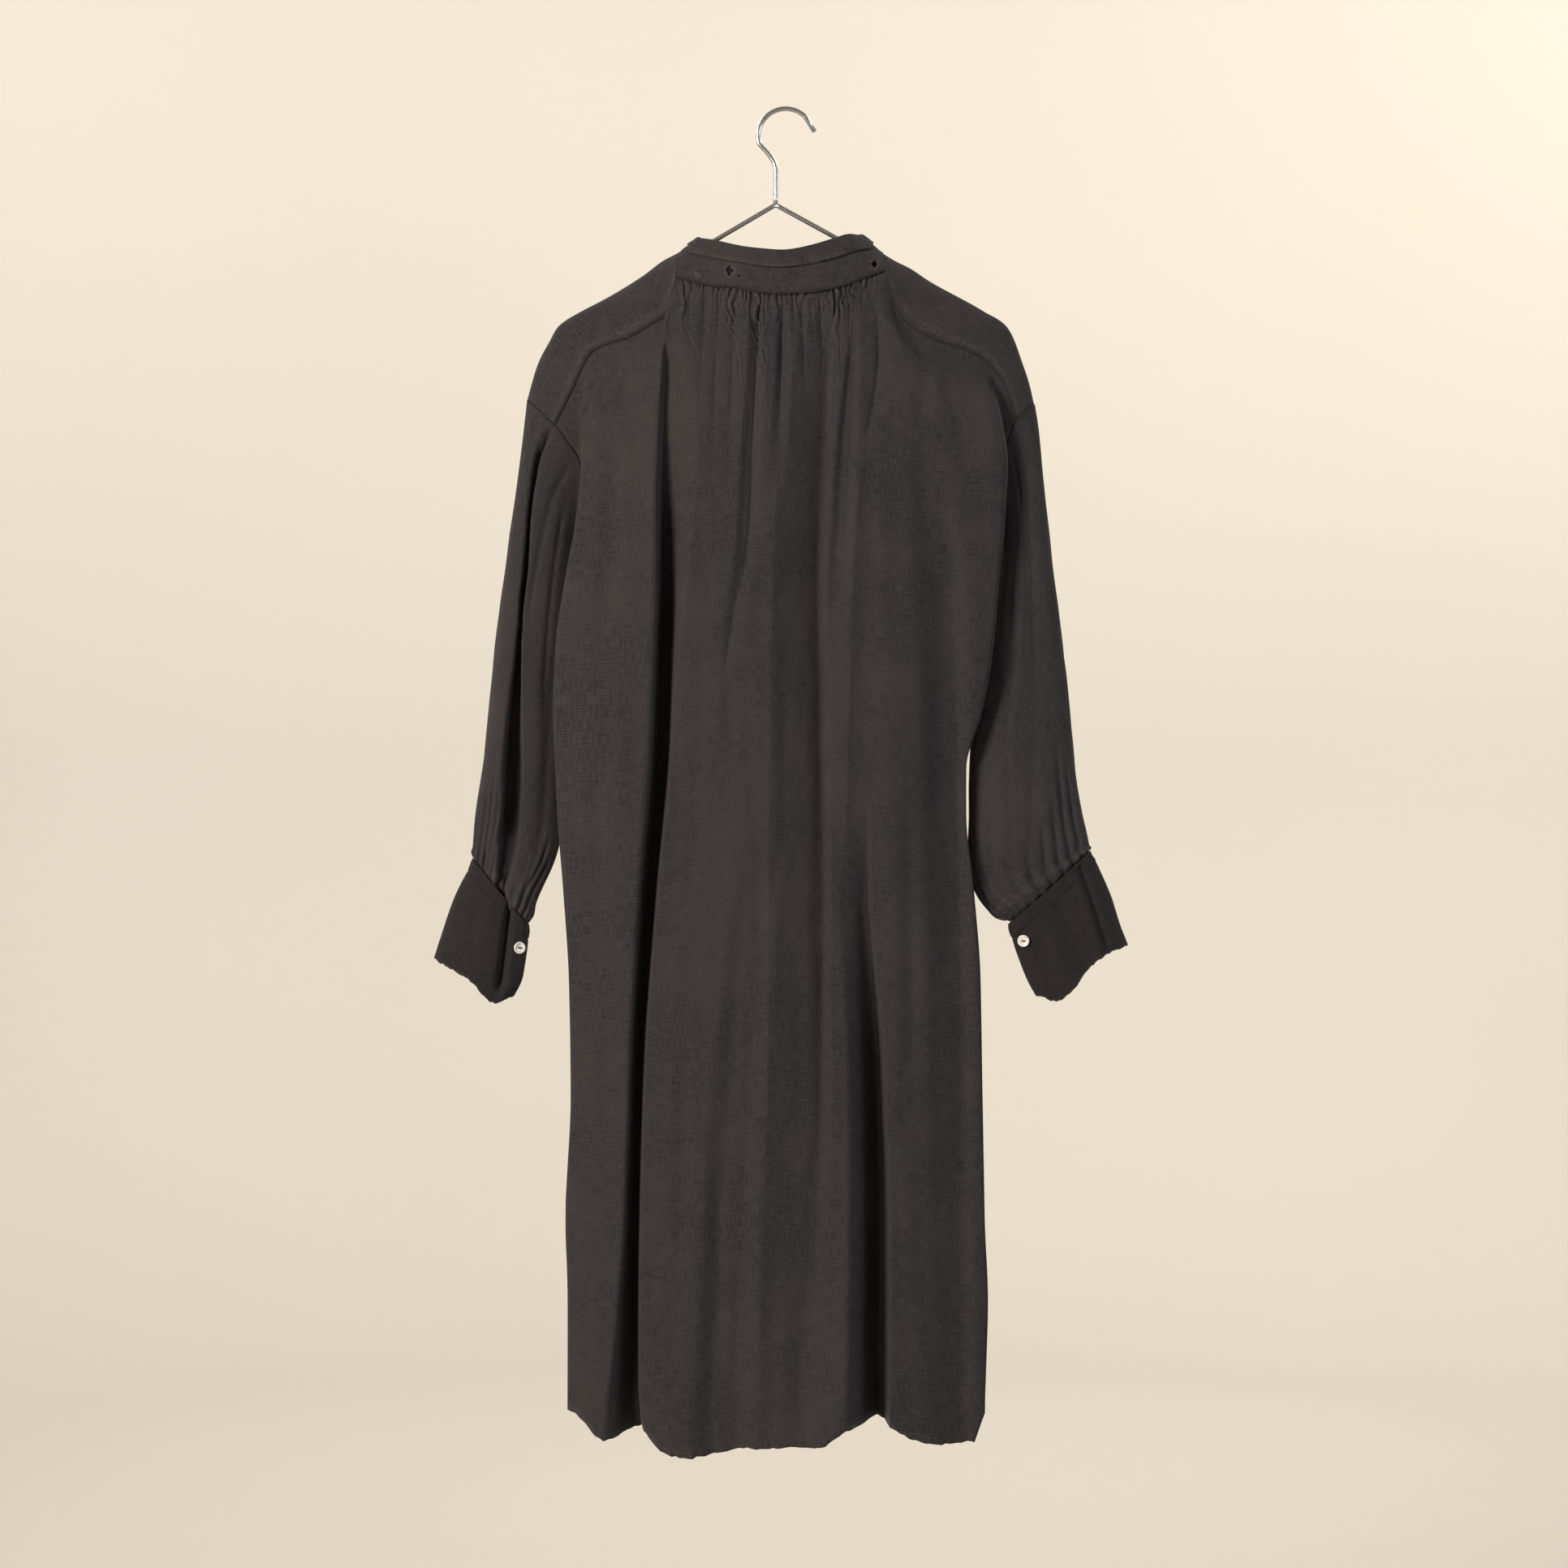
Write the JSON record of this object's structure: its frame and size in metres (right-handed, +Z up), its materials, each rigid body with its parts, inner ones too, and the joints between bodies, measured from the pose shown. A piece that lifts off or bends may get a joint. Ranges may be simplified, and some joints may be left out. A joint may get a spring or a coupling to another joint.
{
  "type": "smock frock on a wire hanger",
  "caption": "Long linen smock with a gathered back, shoulder yokes, full sleeves and flared cuffs, hung by a wire hanger.",
  "frame": {"origin": "inner top of the hanger's hook, where the whole thing hangs", "axes": "+Z up, +Y from the garment's back towards its front, +X to the right of a viewer behind it"},
  "size_m": [0.6672, 0.0751, 1.2874],
  "materials": {
    "linen": "dull plain weave, worn soft",
    "cuff_linen": "dull plain weave, less faded",
    "pearl": "soft pearl gloss",
    "wire": "bright plated steel wire"
  },
  "bodies": {
    "root": {"back": "linen", "front": "linen", "yoke_left": "linen", "yoke_right": "linen", "neck_band": "linen", "collar": "linen", "sleeve_left": "linen", "sleeve_right": "linen", "cuff_left": "cuff_linen", "cuff_right": "cuff_linen", "button_left": "pearl", "button_right": "pearl", "hanger": "wire"}
  },
  "joints": []
}
